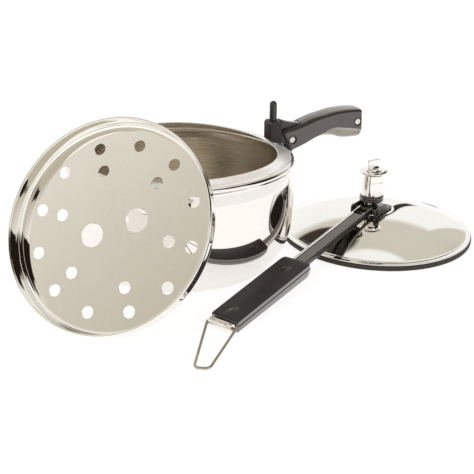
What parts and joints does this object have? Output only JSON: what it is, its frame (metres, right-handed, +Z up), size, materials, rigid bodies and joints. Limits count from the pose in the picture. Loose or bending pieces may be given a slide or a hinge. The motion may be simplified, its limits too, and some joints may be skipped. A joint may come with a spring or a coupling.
{
  "type": "pressure cooker",
  "caption": "Stainless steel pressure cooker taken apart: pot with bakelite handle, inside-fitting lid with lever and vent weight beside it, perforated steam plate leaning on the rim.",
  "frame": {"origin": "centre of the underside of the pot's base, on the surface that it stands on", "axes": "+Z up; +X to the right, from the pot towards the lid; +Y away from the steam plate and the lever's grip"},
  "size_m": [0.3942, 0.3296, 0.1427],
  "materials": {
    "mirror_steel": "polished stainless steel",
    "satin_steel": "satin stainless steel",
    "aluminium": "pressed disc",
    "bakelite": "moulded black-brown bakelite",
    "black_steel": "black coated steel",
    "plated_steel": "nickel plated",
    "brass": "turned",
    "soft_alloy": "cast low-melting alloy",
    "rubber": "matte moulded rubber"
  },
  "bodies": {
    "pot": {"pot_shell": "mirror_steel", "base_core": "aluminium", "base_cover": "satin_steel", "handle_bracket": "black_steel", "rim_block": "bakelite", "fulcrum_post": "black_steel", "handle_left_half": "bakelite", "handle_right_half": "bakelite", "handle_screw_inner": "plated_steel", "handle_screw_outer": "plated_steel", "handle_nut_inner": "plated_steel", "handle_nut_outer": "plated_steel"},
    "lid": {"lid_shell": "mirror_steel", "gasket": "rubber", "valve_body": "brass", "valve_plug": "soft_alloy", "valve_nut": "brass", "hub_yoke": "black_steel", "pivot_pin": "plated_steel", "vent_tube": "satin_steel", "vent_nut": "plated_steel"},
    "lever": {"lever_bar": "black_steel", "grip_top": "bakelite", "grip_bottom": "bakelite", "grip_screw_inner": "plated_steel", "grip_screw_outer": "plated_steel", "grip_nut_inner": "plated_steel", "grip_nut_outer": "plated_steel", "end_clip": "mirror_steel"},
    "locking_loop": {"wire_loop": "mirror_steel"},
    "weight": {"weight_body": "mirror_steel", "weight_ring": "black_steel", "weight_tab": "mirror_steel"},
    "plate": {"steam_plate": "mirror_steel"}
  },
  "joints": [
    {"name": "lid_lift", "type": "slide", "parent": "pot", "child": "lid", "axis": [0.7071, 0, 0.7071], "range_m": [0, 0.12]},
    {"name": "lever_pivot", "type": "hinge", "parent": "lid", "child": "lever", "pos_m": [0.16636, 0.02764, 0.029], "axis": [-0.7986, 0.6018, 0], "range_deg": [0, 10]},
    {"name": "loop_swing", "type": "hinge", "parent": "lever", "child": "locking_loop", "pos_m": [0.03684, -0.14424, 0.00543], "axis": [-0.7986, 0.6018, 0], "range_deg": [0, 105]},
    {"name": "weight_lift", "type": "slide", "parent": "lid", "child": "weight", "axis": [0, 0, 1], "range_m": [0, 0.03]},
    {"name": "plate_lift", "type": "slide", "parent": "pot", "child": "plate", "axis": [0, 0, 1], "range_m": [0, 0.1]}
  ]
}
